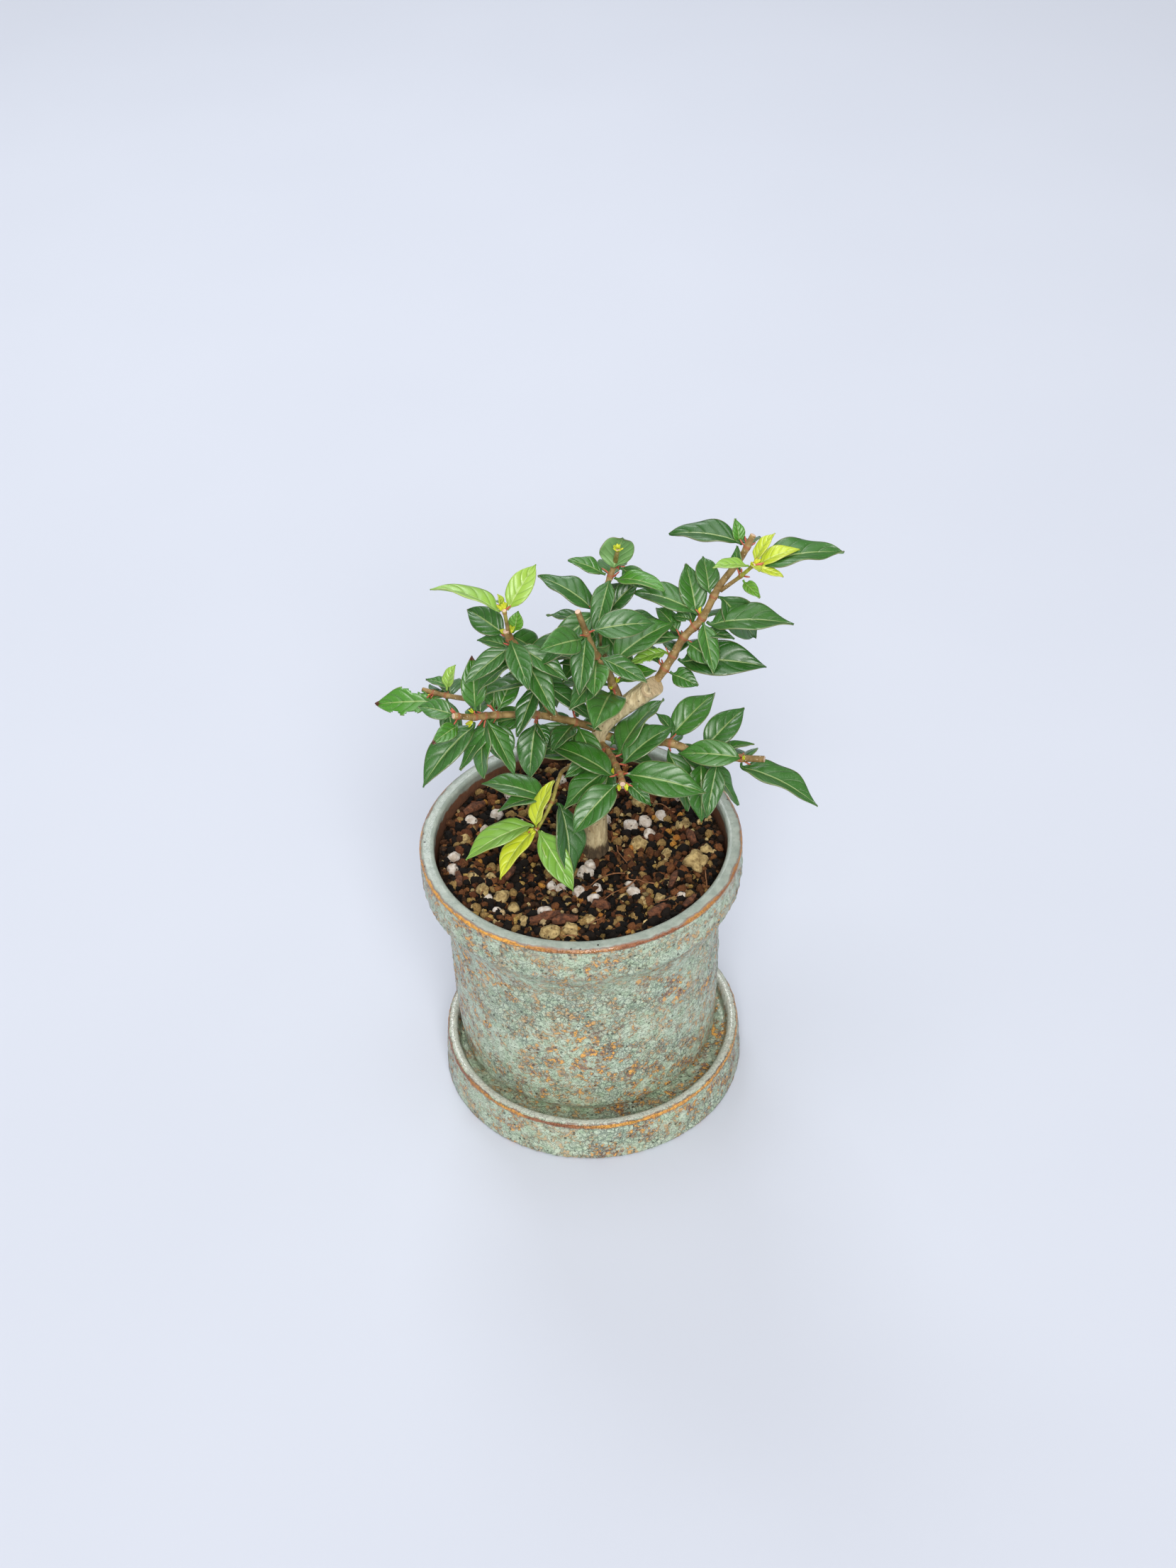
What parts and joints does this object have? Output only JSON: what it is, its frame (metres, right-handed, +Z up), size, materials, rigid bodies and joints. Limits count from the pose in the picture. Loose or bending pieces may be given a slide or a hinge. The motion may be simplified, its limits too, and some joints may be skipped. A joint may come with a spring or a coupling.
{
  "type": "bonsai tree in a pot",
  "caption": "Small broad-leaved bonsai tree with a forked trunk and opposite leaves, growing in grit soil in a round glazed pot that stands in its own saucer.",
  "frame": {"origin": "centre of the saucer's flat underside", "axes": "+Z up; -Y towards the tree's front; +X to the right as seen from the front"},
  "size_m": [0.1249, 0.0914, 0.1774],
  "materials": {
    "glaze": "semi-gloss celadon glaze with rust and purple-brown mottling and fine crackle",
    "soil": "matt loose potting grit",
    "bark": "matt pale beige-grey bark",
    "twig_bark": "satin olive-brown young bark",
    "leaf_green": "satin dark green leaf",
    "leaf_young": "satin lime green young leaf",
    "leaf_yellowing": "satin yellow-green leaf with a browned tip"
  },
  "bodies": {
    "root": {"saucer": "glaze", "pot": "glaze", "soil": "soil", "trunk": "bark", "back_twig": "twig_bark", "centre_left_twig": "twig_bark", "centre_twig": "twig_bark", "far_left_twig": "twig_bark", "front_left_twig": "twig_bark", "front_twig": "twig_bark", "leader": "twig_bark", "left_branch": "twig_bark", "right_branch": "twig_bark", "upper_left_twig": "twig_bark", "upper_right_twig": "twig_bark", "leaves_back_1": "leaf_green", "leaves_back_2": "leaf_green", "leaves_back_3": "leaf_green", "leaves_back_4": "leaf_green", "leaves_centre_1": "leaf_green", "leaves_centre_2": "leaf_green", "leaves_centre_3": "leaf_green", "leaves_centre_4": "leaf_green", "leaves_centre_left_1": "leaf_green", "leaves_centre_left_2": "leaf_green", "leaves_centre_left_3": "leaf_green", "leaves_centre_left_4": "leaf_green", "leaves_far_left_1": "leaf_yellowing", "leaves_far_left_2": "leaf_yellowing", "leaves_front_1": "leaf_green", "leaves_front_2": "leaf_green", "leaves_front_3": "leaf_green", "leaves_front_4": "leaf_green", "leaves_front_5": "leaf_green", "leaves_front_left_1": "leaf_green", "leaves_front_left_2": "leaf_young", "leaves_left_1": "leaf_green", "leaves_left_2": "leaf_green", "leaves_left_3": "leaf_green", "leaves_left_4": "leaf_green", "leaves_left_5": "leaf_green", "leaves_left_6": "leaf_green", "leaves_right_1": "leaf_green", "leaves_right_2": "leaf_green", "leaves_right_3": "leaf_green", "leaves_right_4": "leaf_green", "leaves_top_right_1": "leaf_green", "leaves_top_right_2": "leaf_green", "leaves_top_right_3": "leaf_green", "leaves_top_right_4": "leaf_green", "leaves_top_right_5": "leaf_green", "leaves_top_right_6": "leaf_green", "leaves_top_right_7": "leaf_green", "leaves_upper_left_1": "leaf_young", "leaves_upper_right_1": "leaf_young", "leaves_upper_right_2": "leaf_young"}
  },
  "joints": []
}
